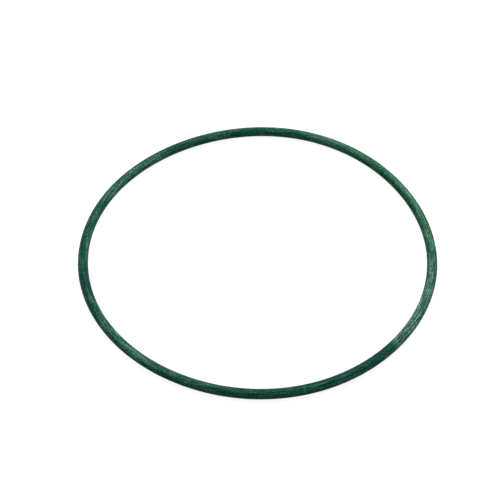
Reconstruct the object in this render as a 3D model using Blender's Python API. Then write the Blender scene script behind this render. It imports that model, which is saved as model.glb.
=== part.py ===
"""A toric sealing ring: one moulded ring of green rubber, round in section, lying flat.

Run it from Blender's text editor, or with: blender --background --python part.py
Units are metres and +Z is up. The origin is the ring's centre, on its mid-plane, and +Z is the
ring's own axis.
"""

import math

import bpy

MM = 0.001

# The two sizes that a sealing ring is ordered by: the bore, and the thickness of its round section.
INSIDE_DIAMETER = 120.24 * MM
SECTION_DIAMETER = 3.53 * MM

# The flash that is left, after trimming, where the two halves of the mould meet. It is a low ridge
# with a flat top, on the mid-plane, all the way round the ring's inside and outside.
FLASH_HEIGHT = 0.07 * MM
FLASH_FOOT_WIDTH = 0.18 * MM
FLASH_TOP_WIDTH = 0.07 * MM

# A soft ring that nothing holds lies a little out of round, in waves of three, four and five to a
# turn. Each has how far its crests stand out from the true circle, and the bearing of one of them,
# in degrees anticlockwise from +X.
THREE_WAVE_HEIGHT = 0.325 * MM
THREE_WAVE_BEARING = 66.6
FOUR_WAVE_HEIGHT = 0.152 * MM
FOUR_WAVE_BEARING = -7.3
FIVE_WAVE_HEIGHT = 0.070 * MM
FIVE_WAVE_BEARING = -3.1

# How finely the ring is faceted: steps round the ring, and flats on the upper half of the section.
# An odd number of flats puts one level at the top, and one at the bottom for the ring to rest on.
STEPS_ROUND_RING = 144
FLATS_PER_HALF = 11

# The rubber's colour, as linear red, green and blue, and how matt it is.
RUBBER_GREEN = (0.023, 0.098, 0.069, 1.0)
RUBBER_ROUGHNESS = 0.6


def clear_scene():
    """Removes whatever the open file already holds."""
    for thing in list(bpy.data.objects):
        bpy.data.objects.remove(thing, do_unlink=True)


def new_collection(name):
    """A collection of this name, shown in the scene."""
    collection = bpy.data.collections.new(name)
    bpy.context.scene.collection.children.link(collection)
    return collection


def green_rubber():
    """The moulded rubber: dark green right through, with a matt skin."""
    material = bpy.data.materials.new("green_rubber")
    material.use_nodes = True
    shader = material.node_tree.nodes["Principled BSDF"]
    shader.inputs["Base Color"].default_value = RUBBER_GREEN
    shader.inputs["Roughness"].default_value = RUBBER_ROUGHNESS
    shader.inputs["Metallic"].default_value = 0.0
    return material


def middle_radius(bearing):
    """How far the middle of the section lies from the ring's centre, at a bearing in radians."""
    radius = (INSIDE_DIAMETER + SECTION_DIAMETER) / 2
    waves = (
        (3, THREE_WAVE_HEIGHT, THREE_WAVE_BEARING),
        (4, FOUR_WAVE_HEIGHT, FOUR_WAVE_BEARING),
        (5, FIVE_WAVE_HEIGHT, FIVE_WAVE_BEARING),
    )
    for waves_to_a_turn, height, crest_bearing in waves:
        radius += height * math.cos(waves_to_a_turn * (bearing - math.radians(crest_bearing)))
    return radius


def middle_line():
    """The line that the middle of the section follows, anticlockwise seen from above."""
    points = []
    for step in range(STEPS_ROUND_RING):
        bearing = math.tau * step / STEPS_ROUND_RING
        radius = middle_radius(bearing)
        points.append((radius * math.cos(bearing), radius * math.sin(bearing), 0.0))
    return points


def section_outline():
    """The section's outline, with x across the ring and y up, clockwise from the outside flash.

    The flats touch the true circle, so the section measures its full diameter from the flat at the
    bottom to the flat at the top. The flash rises from the two flats that meet on the mid-plane.
    """
    radius = SECTION_DIAMETER / 2
    flat_angle = math.pi / FLATS_PER_HALF
    corner_radius = radius / math.cos(flat_angle / 2)

    flash_foot = corner_radius - FLASH_FOOT_WIDTH / 2 * math.tan(flat_angle / 2)
    flash_top = radius + FLASH_HEIGHT
    lower_half = [
        (flash_foot, FLASH_FOOT_WIDTH / 2),
        (flash_top, FLASH_TOP_WIDTH / 2),
        (flash_top, -FLASH_TOP_WIDTH / 2),
        (flash_foot, -FLASH_FOOT_WIDTH / 2),
    ]
    for corner in range(1, FLATS_PER_HALF):
        angle = -corner * flat_angle
        lower_half.append((corner_radius * math.cos(angle), corner_radius * math.sin(angle)))

    # The upper half is the same outline turned half round.
    upper_half = [(-across, -up) for across, up in lower_half]
    return [(across, up, 0.0) for across, up in lower_half + upper_half]


def closed_curve(name, points, dimensions):
    """A closed curve of straight steps through the points, with its object not yet in a collection."""
    curve = bpy.data.curves.new(name, "CURVE")
    curve.dimensions = dimensions
    spline = curve.splines.new("POLY")
    spline.points.add(len(points) - 1)
    for point, place in zip(spline.points, points):
        point.co = (*place, 1.0)
    spline.use_cyclic_u = True
    spline.use_smooth = True
    return bpy.data.objects.new(name, curve)


def build_sealing_ring(parts, guides):
    """Sweeps the section round the middle line, as one closed ring with no joint."""
    section = closed_curve("section_guide", section_outline(), "2D")
    section.hide_render = True
    section.display_type = "WIRE"
    guides.objects.link(section)

    ring = closed_curve("sealing_ring", middle_line(), "3D")
    ring.data.twist_mode = "Z_UP"
    ring.data.bevel_mode = "OBJECT"
    ring.data.bevel_object = section
    ring.data.materials.append(green_rubber())
    parts.objects.link(ring)
    return ring


clear_scene()
build_sealing_ring(new_collection("sealing_ring"), new_collection("guides"))
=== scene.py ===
import math

import bpy
import numpy as np
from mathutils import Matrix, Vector


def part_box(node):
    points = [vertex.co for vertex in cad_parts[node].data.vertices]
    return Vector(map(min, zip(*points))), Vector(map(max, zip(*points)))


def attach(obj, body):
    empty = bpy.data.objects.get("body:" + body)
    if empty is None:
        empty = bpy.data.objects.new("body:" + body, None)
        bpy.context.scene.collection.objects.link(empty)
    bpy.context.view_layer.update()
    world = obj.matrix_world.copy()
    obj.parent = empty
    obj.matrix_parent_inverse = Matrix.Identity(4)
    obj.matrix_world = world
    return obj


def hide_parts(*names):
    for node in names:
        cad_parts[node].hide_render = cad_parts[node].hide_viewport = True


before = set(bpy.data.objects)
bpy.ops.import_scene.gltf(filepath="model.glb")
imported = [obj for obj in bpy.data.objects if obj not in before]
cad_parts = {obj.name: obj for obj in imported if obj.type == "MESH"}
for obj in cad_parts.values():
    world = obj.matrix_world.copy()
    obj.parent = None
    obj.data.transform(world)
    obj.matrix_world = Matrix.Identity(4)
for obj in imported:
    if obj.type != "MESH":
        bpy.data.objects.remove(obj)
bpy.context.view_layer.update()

# The sealing ring
# One moulding of dark green rubber, pressed as a cord of raw compound in a heated mould whose two
# halves close on the ring's mid-plane. Tumbling trims the flash, and leaves a low ragged ridge on
# the inside and the outside. It has no join, and it lies loose on the table under its own weight.

MM = 0.001

ring_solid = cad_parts["sealing_ring"]
ring_low, ring_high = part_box("sealing_ring")
section_radius = (ring_high.z - ring_low.z) / 2

# The soft ring lies a little out of round. The crest of the solid ring, which is all of it above
# this share of its height, gives the radius of its middle line at each bearing. A mean with a few
# whole waves gives that radius everywhere between.
CREST_LEVEL = 0.99
WAVES_IN_MIDDLE_LINE = range(2, 7)


def wave_terms(bearing):
    terms = [np.ones_like(bearing)]
    for waves in WAVES_IN_MIDDLE_LINE:
        terms.append(np.cos(waves * bearing))
        terms.append(np.sin(waves * bearing))
    return np.stack(terms, axis=-1)


solid_places = np.array([vertex.co for vertex in ring_solid.data.vertices])
crest = solid_places[solid_places[:, 2] > CREST_LEVEL * ring_high.z]
crest_radii = np.hypot(crest[:, 0], crest[:, 1])
crest_bearings = np.arctan2(crest[:, 1], crest[:, 0])
middle_waves = np.linalg.lstsq(wave_terms(crest_bearings), crest_radii, rcond=None)[0]
mean_radius = float(middle_waves[0])


def middle_radius(bearing):
    return wave_terms(bearing) @ middle_waves


# The flash ridge: where its foot and its top end, measured up from the mid-plane, and how high it
# stands on the solid ring.
FLASH_FOOT = 0.09 * MM
FLASH_TOP = 0.03 * MM
flash_height = ring_high.x - float(middle_radius(np.array(0.0))) - section_radius

# The skin's mesh: steps round the ring, and points round a quarter of the section. The points crowd
# in where the flash stands, at these levels in millimetres, so that its ridge is a real edge.
STEPS_ROUND_RING = 1200
FLASH_LEVELS = (0.0, 0.02, 0.04, 0.065, 0.09, 0.13)
POINTS_TO_CREST = 14


def section_angles():
    """Angles round the section from the outside flash, up over the crest and round underneath."""
    near_flash = [math.asin(level * MM / section_radius) for level in FLASH_LEVELS]
    to_crest = np.linspace(near_flash[-1], math.pi / 2, POINTS_TO_CREST + 1)[1:]
    quarter = near_flash + list(to_crest)
    half = quarter + [math.pi - angle for angle in reversed(quarter[:-1])]
    return np.array(half + [math.pi + angle for angle in half[1:-1]])


# Ripples that the mould and the shrinking rubber leave in the skin. Each has a whole number of
# waves round the ring and round the section, so that the skin closes on itself.
RIPPLES = 70
RIPPLE_HEIGHT = 0.0035 * MM
SHORTEST_RIPPLE = 1.6 * MM
LONGEST_RIPPLE = 14 * MM
MOST_RIPPLES_ROUND_SECTION = 5


def skin_ripples(bearing, angle, chance):
    ring_length = math.tau * mean_radius
    height = np.zeros(np.broadcast(bearing, angle).shape)
    for _ in range(RIPPLES):
        length = math.exp(chance.uniform(math.log(SHORTEST_RIPPLE), math.log(LONGEST_RIPPLE)))
        along = round(ring_length / length)
        round_section = chance.integers(-MOST_RIPPLES_ROUND_SECTION, MOST_RIPPLES_ROUND_SECTION + 1)
        start = chance.uniform(0, math.tau)
        height += np.cos(along * bearing + round_section * angle + start)
    return RIPPLE_HEIGHT * height / math.sqrt(RIPPLES / 2)


# Tumbling trims the flash unevenly: its height wanders in waves as it goes round, and never quite
# reaches nothing. The two halves of the mould also meet a hair out of line, which leaves the crest
# alone, out to this share of the section's radius.
SKIN_SEED = 7
FLASH_WAVES = 40
FEWEST_WAVES_ROUND_RING = 5
MOST_WAVES_ROUND_RING = 259
FLASH_UNEVENNESS = 2.0
LOWEST_FLASH = 0.35
MOULD_MISMATCH = 0.012 * MM
CREST_HALF_WIDTH = 0.05


def flash_share(bearing, chance):
    wander = np.zeros(bearing.shape)
    for _ in range(FLASH_WAVES):
        waves = chance.integers(FEWEST_WAVES_ROUND_RING, MOST_WAVES_ROUND_RING + 1)
        start = chance.uniform(0, math.tau)
        wander += np.cos(waves * bearing + start) / math.sqrt(FLASH_WAVES / 2)
    return LOWEST_FLASH + (1 - LOWEST_FLASH) / (1 + np.exp(-FLASH_UNEVENNESS * wander))


def flash_ridge(angle):
    level = np.abs(section_radius * np.sin(angle))
    slope = np.clip((FLASH_FOOT - level) / (FLASH_FOOT - FLASH_TOP), 0, 1)
    return flash_height * slope * slope * (3 - 2 * slope)


def skin_places():
    chance = np.random.default_rng(SKIN_SEED)
    bearing = np.arange(STEPS_ROUND_RING)[:, None] * math.tau / STEPS_ROUND_RING
    angle = section_angles()[None, :]
    outside_flash = flash_share(bearing, chance)
    inside_flash = flash_share(bearing, chance)
    trimmed = np.where(np.cos(angle) > 0, outside_flash, inside_flash)
    reach = section_radius + skin_ripples(bearing, angle, chance) + flash_ridge(angle) * trimmed
    off_crest = np.abs(np.cos(angle)) > CREST_HALF_WIDTH
    mismatch = MOULD_MISMATCH * np.sign(np.sin(angle)) * off_crest
    radius = middle_radius(bearing[:, 0])[:, None] + reach * np.cos(angle) + mismatch
    height = reach * np.sin(angle)
    return np.stack([radius * np.cos(bearing), radius * np.sin(bearing), height], axis=-1)


def skin_faces(steps, points):
    step = np.arange(steps)[:, None]
    point = np.arange(points)[None, :]
    next_step = (step + 1) % steps
    next_point = (point + 1) % points
    corners = [
        step * points + point,
        next_step * points + point,
        next_step * points + next_point,
        step * points + next_point,
    ]
    return np.stack(corners, axis=-1).reshape(-1, 4)


places = skin_places()
steps, points = places.shape[:2]
ring_mesh = bpy.data.meshes.new("sealing_ring_skin")
ring_mesh.from_pydata(places.reshape(-1, 3).tolist(), [], skin_faces(steps, points).tolist())
ring_mesh.shade_smooth()

# Two maps of the skin. One is the ring unrolled: turns round the ring, and turns round the section
# from the outside flash. The other cuts that long strip into rows, which fill a square with a
# margin round each row.
ROWS_IN_SQUARE = 6
ROW_MARGIN = 0.002

step_corners = np.arange(steps)[:, None, None] + np.array([0, 1, 1, 0])
turn = step_corners / steps + np.zeros((1, points, 1))
angles = np.append(section_angles(), math.tau) / math.tau
point_corners = np.arange(points)[None, :, None] + np.array([0, 0, 1, 1])
girth = angles[point_corners] + np.zeros((steps, 1, 1))

unrolled = ring_mesh.uv_layers.new(name="unrolled")
unrolled.uv.foreach_set("vector", np.stack([turn, girth], axis=-1).ravel())

steps_in_row = steps // ROWS_IN_SQUARE
row = (np.arange(steps) // steps_in_row)[:, None, None]
along_row = (step_corners - row * steps_in_row) / steps_in_row + np.zeros((1, points, 1))
across_square = ROW_MARGIN + (1 - 2 * ROW_MARGIN) * along_row
up_square = row / ROWS_IN_SQUARE + ROW_MARGIN + (1 / ROWS_IN_SQUARE - 2 * ROW_MARGIN) * girth
in_square = np.stack([across_square, up_square], axis=-1)
rows = ring_mesh.uv_layers.new(name="OFBake")
rows.uv.foreach_set("vector", in_square.ravel())

ring = bpy.data.objects.new("sealing_ring_skin", ring_mesh)
bpy.context.scene.collection.objects.link(ring)

# The rubber is green right through. A thin film of pale dust lies on its skin, smeared out along
# the ring in soft streaks. It hardly pales the green where it is thin, and whitens it where it is
# thick. These are the skin's colours as the film grows from 0, which is freshly wiped.
FILM_COLOURS = (
    (0.0, (0.0, 0.034, 0.022, 1)),
    (0.23, (0.001, 0.051, 0.034, 1)),
    (0.50, (0.013, 0.128, 0.088, 1)),
    (1.0, (0.24, 0.45, 0.355, 1)),
    (1.3, (0.38, 0.62, 0.515, 1)),
)
WIPED_ROUGHNESS = 0.40
DUSTY_ROUGHNESS = 0.68
RUBBER_SPECULAR = 0.06

# How the film changes round the ring: the bearing in degrees anticlockwise from +X, then the
# thickness on top of the ring, which also holds a painted highlight along the crest, and on its
# flanks, and how patchy it is. At two bearings it changes at once, where a wipe began or ended.
FILM_BY_BEARING = (
    (0, 0.55, 0.35, 0.9),
    (20, 0.65, 0.30, 0.7),
    (60, 0.55, 0.45, 0.6),
    (85, 0.40, 0.35, 0.7),
    (124, 0.30, 0.30, 0.6),
    (125, 0.50, 0.40, 0.9),
    (165, 0.40, 0.35, 0.8),
    (198, 0.25, 0.25, 0.8),
    (215, 0.50, 0.45, 0.8),
    (240, 0.45, 0.45, 0.8),
    (262, 0.30, 0.30, 0.6),
    (317, 0.25, 0.45, 0.6),
    (318, 0.55, 0.65, 1.3),
    (348, 0.55, 0.45, 1.1),
    (360, 0.55, 0.35, 0.9),
)
# How narrow the band along the crest is, where dust and a painted highlight make the skin paler.
TOP_DUST_AND_HIGHLIGHT_NARROWNESS = 5

# What makes the film patchy: broad smears, thin streaks and fine grains of dust. Each has its width
# across the skin, how many times as long it is round the ring, and how strongly it tells.
SMEAR_WIDTH = 1.3 * MM
SMEAR_STRETCH = 4.0
SMEAR_CONTRAST = 0.8
STREAK_WIDTH = 0.33 * MM
STREAK_STRETCH = 22.0
STREAK_FILM = 0.44
STREAK_STARTS = 0.42
STREAK_IS_FULL = 0.64
GRAIN_WIDTH = 0.23 * MM
GRAIN_STRETCH = 1.7
GRAIN_CONTRAST = 3.2

# Part of the ring has yellowed a little: the bearing of its middle, how much blue it has lost
# there, and how far to either side the loss is full and how far it reaches.
YELLOWED_SIDE = math.radians(30)
YELLOWED_BLUE_LOST = 0.16
YELLOWED_FULLY = math.radians(20)
YELLOWED_REACH = math.radians(50)

# Painted fill light: skin that faces the front right is made paler, whichever flank that is, and
# skin that faces the back left darker, as if a weak lamp stood at the front right.
PAINTED_FILL_LIGHT_SIDE = math.radians(-45)
PAINTED_FILL_LIGHT_FILM = 0.07

# The trimmed edge of the flash is torn, and looks paler than the moulded skin.
TORN_EDGE_WIDTH = 0.10 * MM
TORN_EDGE_FILM = 0.12

# The mould's own fine grain, and how far it and the streaks stand up from the skin.
MOULD_GRAIN_WIDTH = 0.22 * MM
MOULD_GRAIN_STRETCH = 1.3
BUMP_HEIGHT = 0.05 * MM
BUMP_STRENGTH = 0.6

rubber = bpy.data.materials.new("green_rubber")
rubber.use_nodes = True
nodes = rubber.node_tree.nodes
links = rubber.node_tree.links
shader = nodes["Principled BSDF"]


def feed(socket, source):
    """Sets a socket to a value, or links it to another socket."""
    if isinstance(source, bpy.types.NodeSocket):
        links.new(source, socket)
    else:
        socket.default_value = source


def math_node(operation, *sources):
    node = nodes.new("ShaderNodeMath")
    node.operation = operation
    for socket, source in zip(node.inputs, sources):
        feed(socket, source)
    return node.outputs["Value"]


def smooth_step(value, low, high):
    """0 at low and beyond it, 1 at high and beyond it, and smooth between."""
    node = nodes.new("ShaderNodeMapRange")
    node.interpolation_type = "SMOOTHSTEP"
    feed(node.inputs["Value"], value)
    node.inputs["From Min"].default_value = low
    node.inputs["From Max"].default_value = high
    return node.outputs["Result"]


# Patterns on the skin are read in four dimensions, two on a circle for the way round the ring and
# two on a circle for the way round the section, so that no pattern shows a seam. The second circle
# also says how far the skin faces out, from the middle of the ring, and how far it faces up.
skin_map = nodes.new("ShaderNodeUVMap")
skin_map.uv_map = "unrolled"
turns = nodes.new("ShaderNodeSeparateXYZ")
links.new(skin_map.outputs["UV"], turns.inputs["Vector"])
ring_turn = math_node("MULTIPLY", turns.outputs["X"], math.tau)
section_turn = math_node("MULTIPLY", turns.outputs["Y"], math.tau)
ring_x = math_node("COSINE", ring_turn)
ring_y = math_node("SINE", ring_turn)
faces_out = math_node("COSINE", section_turn)
faces_up = math_node("SINE", section_turn)
circles = nodes.new("ShaderNodeCombineXYZ")
feed(circles.inputs["X"], ring_x)
feed(circles.inputs["Y"], ring_y)
feed(circles.inputs["Z"], faces_out)


def skin_noise(width, stretch, detail, roughness, shift):
    """Noise in marks about width across the skin, and stretch times as long round the ring."""
    round_ring = mean_radius / (width * stretch)
    round_section = section_radius / width
    scaled = nodes.new("ShaderNodeVectorMath")
    scaled.operation = "MULTIPLY"
    feed(scaled.inputs[0], circles.outputs["Vector"])
    scaled.inputs[1].default_value = (round_ring, round_ring, round_section)
    noise = nodes.new("ShaderNodeTexNoise")
    noise.noise_dimensions = "4D"
    feed(noise.inputs["Vector"], scaled.outputs["Vector"])
    feed(noise.inputs["W"], math_node("MULTIPLY_ADD", faces_up, round_section, shift))
    noise.inputs["Scale"].default_value = 1.0
    noise.inputs["Detail"].default_value = detail
    noise.inputs["Roughness"].default_value = roughness
    return noise.outputs["Fac"]


smears = skin_noise(SMEAR_WIDTH, SMEAR_STRETCH, detail=3.0, roughness=0.6, shift=17.0)
streak_noise = skin_noise(STREAK_WIDTH, STREAK_STRETCH, detail=2.0, roughness=0.5, shift=11.0)
streaks = smooth_step(streak_noise, STREAK_STARTS, STREAK_IS_FULL)
grains = skin_noise(GRAIN_WIDTH, GRAIN_STRETCH, detail=5.0, roughness=0.6, shift=23.0)

film_ramp = nodes.new("ShaderNodeValToRGB")
stops = film_ramp.color_ramp.elements
stops[0].position = 0.0
stops[1].position = 1.0
for bearing, top_film_and_highlight, on_flanks, patchiness in FILM_BY_BEARING[1:-1]:
    stops.new(bearing / 360)
for stop, (bearing, top_film_and_highlight, on_flanks, patchiness) in zip(stops, FILM_BY_BEARING):
    stop.color = (top_film_and_highlight, on_flanks, patchiness, 1)
links.new(turns.outputs["X"], film_ramp.inputs["Fac"])
thickness = nodes.new("ShaderNodeSeparateColor")
links.new(film_ramp.outputs["Color"], thickness.inputs["Color"])
film_and_highlight_on_top = thickness.outputs["Red"]
film_on_flanks = thickness.outputs["Green"]
film_patchiness = thickness.outputs["Blue"]

# The share of the top's film, which is partly dust and partly a painted highlight, is 1 along the
# crest of the ring, and falls to 0 on its flanks.
top_dust_and_highlight_share = math_node("POWER", math_node("MAXIMUM", faces_up, 0.0), TOP_DUST_AND_HIGHLIGHT_NARROWNESS)
more_dust_and_highlight_on_top = math_node("SUBTRACT", film_and_highlight_on_top, film_on_flanks)
film_and_painted_light = math_node("MULTIPLY_ADD", more_dust_and_highlight_on_top, top_dust_and_highlight_share, film_on_flanks)
off_mid_plane = math_node("ABSOLUTE", faces_up)
torn_edge = smooth_step(off_mid_plane, TORN_EDGE_WIDTH / section_radius, 0.0)
film_and_painted_light = math_node("MULTIPLY_ADD", torn_edge, TORN_EDGE_FILM, film_and_painted_light)


def towards(bearing):
    """1 on the side of the ring at this bearing, falling to -1 on the far side."""
    along_x = math_node("MULTIPLY", ring_x, math.cos(bearing))
    return math_node("MULTIPLY_ADD", ring_y, math.sin(bearing), along_x)


# Painted fill light from the front right, added to the film.
faces_painted_fill_light = math_node("MULTIPLY", towards(PAINTED_FILL_LIGHT_SIDE), faces_out)
film_and_painted_light = math_node("MULTIPLY_ADD", faces_painted_fill_light, PAINTED_FILL_LIGHT_FILM, film_and_painted_light)

# Smears, streaks and grains thin the film here and thicken it there, and about even out, because
# a noise is 0.5 on the whole, and the streaks cover about this share of the skin.
MEAN_NOISE = 0.5
STREAKED_SHARE = 0.35

patches = math_node("MULTIPLY_ADD", streaks, STREAK_FILM, -STREAKED_SHARE * STREAK_FILM)
for noise, contrast in ((smears, SMEAR_CONTRAST), (grains, GRAIN_CONTRAST)):
    patch = math_node("MULTIPLY_ADD", noise, contrast, -MEAN_NOISE * contrast)
    patches = math_node("ADD", patches, patch)
film_and_painted_light = math_node("MULTIPLY_ADD", patches, film_patchiness, film_and_painted_light)

# These colours also carry the painted highlight along the crest and the painted fill light.
film_colours = nodes.new("ShaderNodeValToRGB")
stops = film_colours.color_ramp.elements
thickest_film = FILM_COLOURS[-1][0]
for thick, colour in FILM_COLOURS[1:-1]:
    stops.new(thick / thickest_film)
for stop, (thick, colour) in zip(stops, FILM_COLOURS):
    stop.color = colour
feed(film_colours.inputs["Fac"], math_node("DIVIDE", film_and_painted_light, thickest_film))

yellow_side = towards(YELLOWED_SIDE)
yellowed = smooth_step(yellow_side, math.cos(YELLOWED_REACH), math.cos(YELLOWED_FULLY))
blue_left = nodes.new("ShaderNodeCombineColor")
blue_left.inputs["Red"].default_value = 1.0
blue_left.inputs["Green"].default_value = 1.0
feed(blue_left.inputs["Blue"], math_node("MULTIPLY_ADD", yellowed, -YELLOWED_BLUE_LOST, 1.0))
yellowing = nodes.new("ShaderNodeVectorMath")
yellowing.operation = "MULTIPLY"
feed(yellowing.inputs[0], film_colours.outputs["Color"])
feed(yellowing.inputs[1], blue_left.outputs["Color"])
feed(shader.inputs["Base Color"], yellowing.outputs["Vector"])

roughness = nodes.new("ShaderNodeMapRange")
feed(roughness.inputs["Value"], film_and_painted_light)
roughness.inputs["To Min"].default_value = WIPED_ROUGHNESS
roughness.inputs["To Max"].default_value = DUSTY_ROUGHNESS
feed(shader.inputs["Roughness"], roughness.outputs["Result"])
shader.inputs["Specular IOR Level"].default_value = RUBBER_SPECULAR

mould_grain = skin_noise(
    MOULD_GRAIN_WIDTH, MOULD_GRAIN_STRETCH, detail=3.0, roughness=0.6, shift=37.0
)
skin_bump = nodes.new("ShaderNodeBump")
skin_bump.inputs["Strength"].default_value = BUMP_STRENGTH
skin_bump.inputs["Distance"].default_value = BUMP_HEIGHT
feed(skin_bump.inputs["Height"], math_node("ADD", mould_grain, streaks))
feed(shader.inputs["Normal"], skin_bump.outputs["Normal"])

ring_mesh.materials.append(rubber)
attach(ring, "root")
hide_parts("sealing_ring")

# The table
# A sheet of plain white card, far larger than the view. The ring's underside just touches it. Near
# the ring it shows the ring's soft shadow. Further out it is an even white, and from below clear.

TABLE_HALF_WIDTH = 12.0
CARD_GREY = 0.34
WHITE_NEAR_RING = 0.91
WHITE_FURTHER_OUT = 1.0
NEAR_RING = 0.09
FURTHER_OUT = 0.25
WHITE = (1, 1, 1, 1)

bpy.ops.mesh.primitive_plane_add(size=2 * TABLE_HALF_WIDTH, location=(0, 0, ring_low.z))
table = bpy.context.object
table.name = "table"
card = bpy.data.materials.new("white_card")
card.use_nodes = True
nodes = card.node_tree.nodes
links = card.node_tree.links
nodes.clear()


def background_share():
    """1 for rays that show the background: to the camera, in gloss and through glass."""
    path = nodes.new("ShaderNodeLightPath")
    seen = math_node("MAXIMUM", path.outputs["Is Camera Ray"], path.outputs["Is Glossy Ray"])
    return math_node("MAXIMUM", seen, path.outputs["Is Transmission Ray"])


card_places = nodes.new("ShaderNodeTexCoord")
from_centre = nodes.new("ShaderNodeVectorMath")
from_centre.operation = "LENGTH"
links.new(card_places.outputs["Object"], from_centre.inputs[0])
white_share = nodes.new("ShaderNodeMapRange")
white_share.interpolation_type = "SMOOTHSTEP"
links.new(from_centre.outputs["Value"], white_share.inputs["Value"])
white_share.inputs["From Min"].default_value = NEAR_RING
white_share.inputs["From Max"].default_value = FURTHER_OUT
white_share.inputs["To Min"].default_value = WHITE_NEAR_RING
white_share.inputs["To Max"].default_value = WHITE_FURTHER_OUT

card_shade = nodes.new("ShaderNodeBsdfDiffuse")
card_shade.inputs["Color"].default_value = (CARD_GREY, CARD_GREY, CARD_GREY, 1)
card_white = nodes.new("ShaderNodeEmission")
card_white.inputs["Color"].default_value = WHITE
white_strength = math_node("MULTIPLY", background_share(), white_share.outputs["Result"])
feed(card_white.inputs["Strength"], white_strength)
card_face = nodes.new("ShaderNodeAddShader")
links.new(card_shade.outputs["BSDF"], card_face.inputs[0])
links.new(card_white.outputs["Emission"], card_face.inputs[1])

card_side = nodes.new("ShaderNodeNewGeometry")
seen_from_below = nodes.new("ShaderNodeMixShader")
links.new(card_side.outputs["Backfacing"], seen_from_below.inputs["Fac"])
links.new(card_face.outputs["Shader"], seen_from_below.inputs[1])
links.new(nodes.new("ShaderNodeBsdfTransparent").outputs["BSDF"], seen_from_below.inputs[2])
card_output = nodes.new("ShaderNodeOutputMaterial")
links.new(seen_from_below.outputs["Shader"], card_output.inputs["Surface"])
table.data.materials.append(card)

# The light
# One wide soft box hangs over and behind the ring, and the white room fills in the rest. The room
# is pure white to the camera and in gloss, and much dimmer as a light.

BOX_WIDTH = 0.55
BOX_PLACE = Vector((0.05, 0.28, 0.62))
BOX_POWER = 4.55
ROOM_LIGHT = 0.13

box_light = bpy.data.lights.new("soft_box", "AREA")
box_light.shape = "SQUARE"
box_light.size = BOX_WIDTH
box_light.energy = BOX_POWER
box = bpy.data.objects.new("soft_box", box_light)
box.location = BOX_PLACE
box.rotation_euler = (-BOX_PLACE).to_track_quat("-Z", "Y").to_euler()
bpy.context.scene.collection.objects.link(box)

room = bpy.data.worlds.new("white_room")
room.use_nodes = True
bpy.context.scene.world = room
nodes = room.node_tree.nodes
links = room.node_tree.links
room_white = nodes["Background"]
room_white.inputs["Color"].default_value = WHITE
feed(room_white.inputs["Strength"], math_node("MAXIMUM", background_share(), ROOM_LIGHT))

# The camera
# A long lens in front of the ring, half a metre away and a little under 50 degrees up. It aims just
# to the left of the ring's middle, and is turned half a degree.

LENS = 100
SENSOR_WIDTH = 36
CAMERA_PLACE = Vector((0, -327.9, 371.2)) * MM
CAMERA_AIM = Vector((-2.86, 1.05, 0)) * MM
CAMERA_ROLL = math.radians(-0.5)

camera_lens = bpy.data.cameras.new("camera")
camera_lens.lens = LENS
camera_lens.sensor_width = SENSOR_WIDTH
camera = bpy.data.objects.new("camera", camera_lens)
camera.location = CAMERA_PLACE
aim = (CAMERA_AIM - CAMERA_PLACE).to_track_quat("-Z", "Y").to_matrix()
camera.rotation_euler = aim.to_euler()
camera.rotation_euler.rotate_axis("Z", CAMERA_ROLL)
bpy.context.scene.collection.objects.link(camera)
bpy.context.scene.camera = camera
bpy.context.scene.view_settings.view_transform = "Standard"
